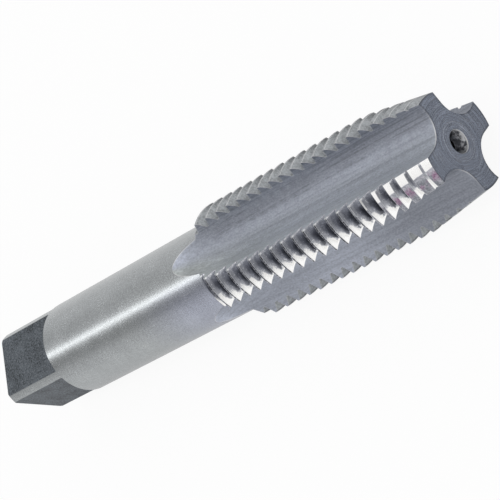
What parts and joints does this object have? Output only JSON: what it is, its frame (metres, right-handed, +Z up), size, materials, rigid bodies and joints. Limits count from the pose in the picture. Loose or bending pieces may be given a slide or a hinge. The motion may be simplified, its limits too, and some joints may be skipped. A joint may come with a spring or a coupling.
{
  "type": "thread tap",
  "caption": "Hand tap with straight flutes, tapered start, round shank and driving square, for cutting a right-hand 60 degree internal thread.",
  "frame": {"origin": "middle of the tap's length, on the surface under it", "axes": "+X along the tap's axis towards the nose, +Z up"},
  "size_m": [0.119, 0.02, 0.0199],
  "materials": {
    "ground_steel": "satin ground tool steel, flutes and square darker, crests polished"
  },
  "bodies": {
    "root": {"tap": "ground_steel"}
  },
  "joints": []
}
